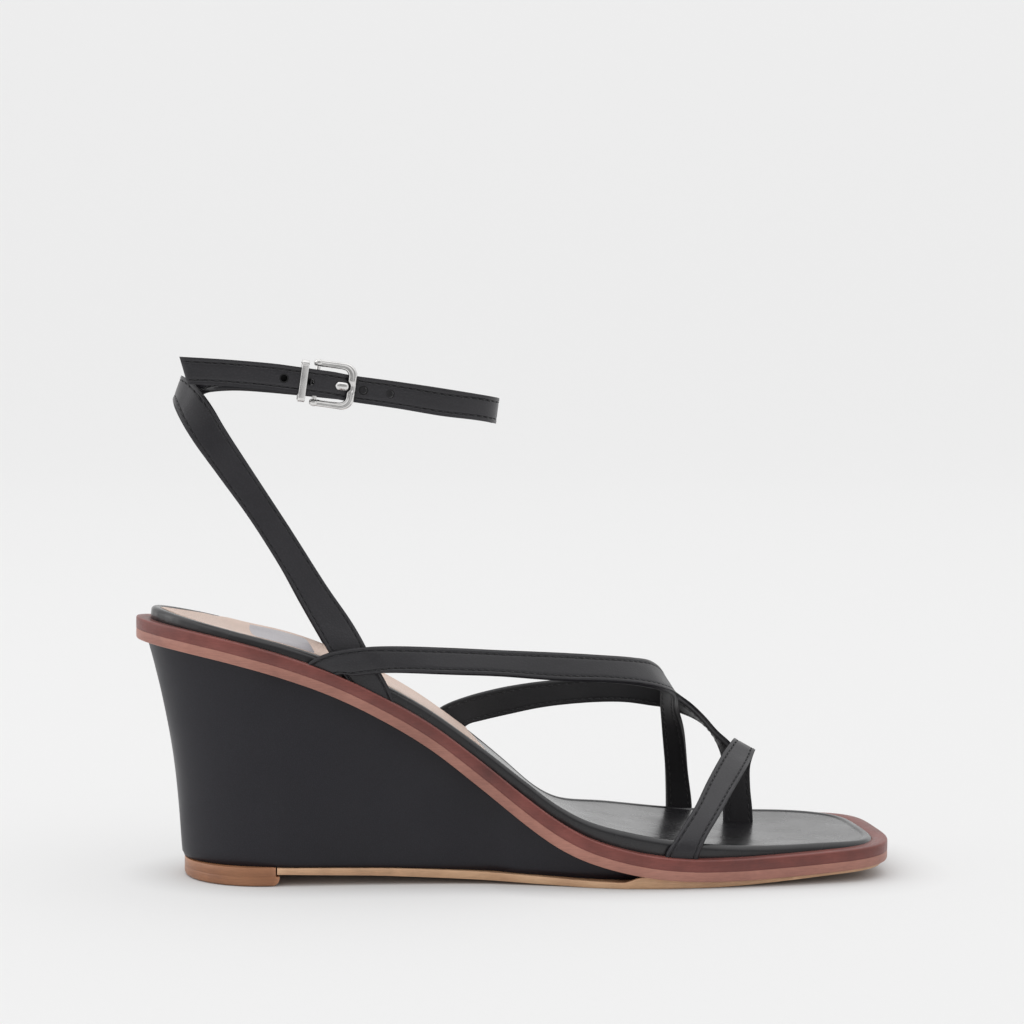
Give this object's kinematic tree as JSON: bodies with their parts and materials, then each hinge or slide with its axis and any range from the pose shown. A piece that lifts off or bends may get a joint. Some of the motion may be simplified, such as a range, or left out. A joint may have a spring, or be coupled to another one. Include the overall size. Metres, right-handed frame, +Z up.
{
  "type": "wedge sandal",
  "caption": "Strappy wedge sandal with a toe post, wrapped wedge, two-tone edged platform, sling back and buckled ankle strap.",
  "frame": {"origin": "centre of the plan box on the ground plane the sandal stands on", "axes": "+X towards the toe, +Y towards the inner (medial) side of the foot, -Y the outer side with the buckle, +Z up"},
  "size_m": [0.2404, 0.0847, 0.1639],
  "materials": {
    "heel_lift_leather": "stacked leather, satin edge",
    "sole_leather": "natural sole leather, lightly waxed",
    "cork_board": "moulded wedge block, covered",
    "wrap_leather": "smooth black leather, low sheen",
    "edge_tan": "trimmed edge, lightly waxed",
    "edge_dark": "burnished and inked edge, semi-gloss",
    "board": "fibre board, covered",
    "steel": "plain steel",
    "foam": "soft foam, covered",
    "footbed_leather": "smooth black leather, satin",
    "sock_leather": "pale natural lining leather, matte",
    "strap_leather": "smooth black leather, satin, stitched",
    "strap_lining": "black lining leather, matte",
    "buckle_metal": "polished nickel plating"
  },
  "bodies": {
    "sole": {"heel_lift": "heel_lift_leather", "heel_lift_nails": "steel", "outsole": "sole_leather", "wedge_core": "cork_board", "wedge_wrap": "wrap_leather", "platform_lower_layer": "edge_tan", "platform_upper_layer": "edge_dark", "insole_board": "board", "shank": "steel", "shank_rivets": "steel", "wedge_screws": "steel", "toe_post_anchor": "steel", "footbed_foam": "foam", "footbed_cover": "footbed_leather", "sock_lining": "sock_leather", "instep_strap": "strap_leather", "instep_strap_lining": "strap_lining", "arch_strap": "strap_leather", "arch_strap_lining": "strap_lining", "toe_strap": "strap_leather", "toe_strap_lining": "strap_lining", "sling_root_lateral": "strap_leather", "sling_root_medial": "strap_leather"},
    "sling": {"sling_strap": "strap_leather", "sling_strap_lining": "strap_lining"},
    "ankle": {"ankle_strap": "strap_leather", "ankle_strap_lining": "strap_lining", "buckle_strap_turn": "strap_leather", "buckle_bar": "buckle_metal"},
    "buckle_frame": {"buckle_frame": "buckle_metal"},
    "buckle_prong": {"buckle_prong": "buckle_metal"},
    "keeper": {"keeper_loop": "buckle_metal"}
  },
  "joints": [
    {"name": "sling_flex", "type": "hinge", "parent": "sole", "child": "sling", "pos_m": [-0.0544, 0, 0.07], "axis": [0, 1, 0], "range_deg": [-12, 20], "stiffness_Nm_per_rad": 1},
    {"name": "ankle_tilt", "type": "hinge", "parent": "sling", "child": "ankle", "pos_m": [-0.104, 0, 0.156], "axis": [0, -1, 0], "range_deg": [-10, 15], "stiffness_Nm_per_rad": 0.4},
    {"name": "buckle_frame_swing", "type": "hinge", "parent": "ankle", "child": "buckle_frame", "pos_m": [-0.065, -0.01535, 0.1562], "axis": [-0.1305, 0, -0.9914], "range_deg": [0, 6]},
    {"name": "buckle_prong_swing", "type": "hinge", "parent": "buckle_frame", "child": "buckle_prong", "pos_m": [-0.065, -0.01535, 0.1562], "axis": [-0.1305, 0, -0.9914], "range_deg": [0, 4]},
    {"name": "keeper_slide", "type": "slide", "parent": "ankle", "child": "keeper", "axis": [0.9914, 0, -0.1305], "range_m": [-0.01, 0]}
  ]
}
